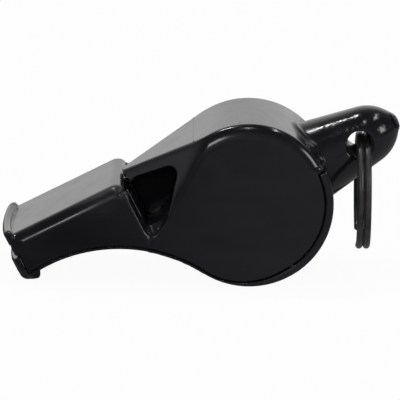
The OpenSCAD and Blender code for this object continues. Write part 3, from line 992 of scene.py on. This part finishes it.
def add_mould_line(name, field, radius, sink, starts, direction, material):
    """A fine raised line, traced over a field of the upper body from starts inside it."""
    centre = []
    out = []
    for start in starts:
        reach = surface_reach(field, start, direction) - sink
        centre.append(whistle_point(*[place + reach * way for place, way in zip(start, direction)]))
        tip = whistle_point(*[place + (reach + 1) * way for place, way in zip(start, direction)])
        out.append((tip - centre[-1]).normalized())
    line = tube(name, centre, out, radius * MM)
    dress(line, material, "whistle")


def add_lug_lines(material):
    """The lug's parting line on both sides, before and behind the eye."""
    runs = {"root": np.linspace(LUG_LINE_FROM, EYE_REACH - EYE_CLEAR, ROOT_POINTS),
            "nose": np.linspace(EYE_REACH + EYE_CLEAR, LUG_REACH - LUG_LINE_STOP, NOSE_POINTS)}
    for word, side in SIDES.items():
        for run, along in runs.items():
            starts = [(a, 0, LUG_UP) for a in along]
            add_mould_line(f"lug_line_{word}_{run}", lug_shape, LUG_LINE_RADIUS, LUG_LINE_SINK,
                           starts, (0, side, 0), material)


def add_insert_lines(material):
    """The two lines of a mould insert across the top."""
    starts = [(0, y, 0) for y in np.linspace(-INSERT_HALF, INSERT_HALF, INSERT_POINTS)]
    for number, angle in enumerate(INSERT_ANGLES, 1):
        turn = math.radians(angle)
        add_mould_line(f"insert_line_{number}", crown_shape, INSERT_LINE_RADIUS, INSERT_LINE_SINK,
                       starts, (math.cos(turn), 0, math.sin(turn)), material)


# A fine lip of plastic along the inner edge of each window's front
FLASH_RADIUS = 0.17
FLASH_FORWARD = 0.16
FLASH_OUT = 0.02
FLASH_SPAN = (4.6, 9.2)
FLASH_POINTS = 12


def add_window_flashes(material):
    """The lips of both windows."""
    a = FLASH_FORWARD - WINDOW_FRONT
    for word, side in SIDES.items():
        y = side * (INNER_HALF + FLASH_OUT)
        centre = [whistle_point(a, y, b) for b in np.linspace(*FLASH_SPAN, FLASH_POINTS)]
        out = [Vector((0, side, 0))] * FLASH_POINTS
        flash = tube(f"window_flash_{word}", centre, out, FLASH_RADIUS * MM)
        dress(flash, material, "whistle")


# The moulding gate's torn stub: a flattened ball, sunk in the nose, with lumps and finer teeth
STUB_RADIUS = 1.1
STUB_ROUGH = 0.35
STUB_FLAT_SHARE = 0.3
STUB_SINK = 0.38
STUB_ASIDE = 0.5
STUB_RAISED = 0.05
STUB_SUBDIVISIONS = 4
LUMP_SCALE = 2.1
LUMP_SHIFT = Vector((3, 1, 4))
TEETH_SCALE = 5.3
TEETH_SHARE = 0.5


def add_gate_stub(material):
    """The stub, as a round ball whose points are moved in and out."""
    build = bmesh.new()
    bmesh.ops.create_icosphere(build, subdivisions=STUB_SUBDIVISIONS, radius=1)
    centre = Vector((LUG_REACH - STUB_SINK, -STUB_ASIDE, LUG_UP + STUB_RAISED))
    for vertex in build.verts:
        direction = vertex.co.normalized()
        rough = noise.noise(direction * LUMP_SCALE + LUMP_SHIFT)
        rough += TEETH_SHARE * noise.noise(direction * TEETH_SCALE)
        radius = STUB_RADIUS + STUB_ROUGH * rough
        spot = Vector((direction.x * radius * STUB_FLAT_SHARE, direction.y * radius,
                       direction.z * radius))
        vertex.co = whistle_point(*(centre + spot))
    mesh = bpy.data.meshes.new("gate_stub")
    build.to_mesh(mesh)
    build.free()
    mesh.shade_smooth()
    stub = new_object("gate_stub", mesh)
    dress(stub, material, "whistle")


# The split ring's wire: where it begins, and how far round it steps from one turn to the other
FIRST_ANGLE = math.radians(11)
STEP_ANGLE = math.radians(20)
RING_STEPS = 96
WIRE_SIDES = 24


def add_ring(material):
    """Two turns of wire side by side, with a short step between them."""
    low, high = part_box("split_ring")
    middle = (low + high) / 2 + Vector((RING_PLAY, 0, 0))
    mean = RING_OUTER_RADIUS - WIRE_RADIUS
    sweep = 2 * (2 * math.pi - STEP_ANGLE)
    count = 2 * RING_STEPS
    centre = []
    out = []
    for i in range(count + 1):
        angle = FIRST_ANGLE + STEP_ANGLE + i * sweep / count
        from_step = abs(i / count - 0.5) * sweep / STEP_ANGLE
        aside = 1 if from_step > 1 else math.sin(from_step * math.pi / 2)
        side = math.copysign(aside, i - count / 2)
        out.append(Vector((0, math.sin(angle), -math.cos(angle))))
        centre.append(middle + mean * out[-1] + Vector((TURN_PITCH / 2 * side, 0, 0)))
    ring = tube("ring_wire", centre, out, WIRE_RADIUS, sides=WIRE_SIDES)
    dress(ring, material, "ring")
    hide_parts("split_ring")


bpy.context.scene.view_settings.view_transform = "Standard"
add_camera()
add_world()
for lamp_name, lamp in LAMPS.items():
    add_lamp(lamp_name, **lamp)
add_floor()

shell_look = shell_material("gloss_black_plastic")
inner_look = shell_material("dull_black_plastic", BLOCK_DULLER)
ring_look = ring_material("dark_satin_metal")
dress(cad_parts["main_body"], shell_look)
dress(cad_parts["lower_shell"], shell_look)
dress(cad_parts["windway_block"], inner_look)
dress(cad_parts["split_ring"], ring_look)
add_skin("main_body_skin", upper_field, upper_outside, UPPER_BOX, UPPER_STEP, "main_body", shell_look)
add_skin("lower_shell_skin", lower_field, lower_outside, LOWER_BOX, LOWER_STEP, "lower_shell",
         shell_look)
add_lug_lines(shell_look)
add_insert_lines(shell_look)
add_window_flashes(shell_look)
add_gate_stub(shell_look)
add_ring(ring_look)
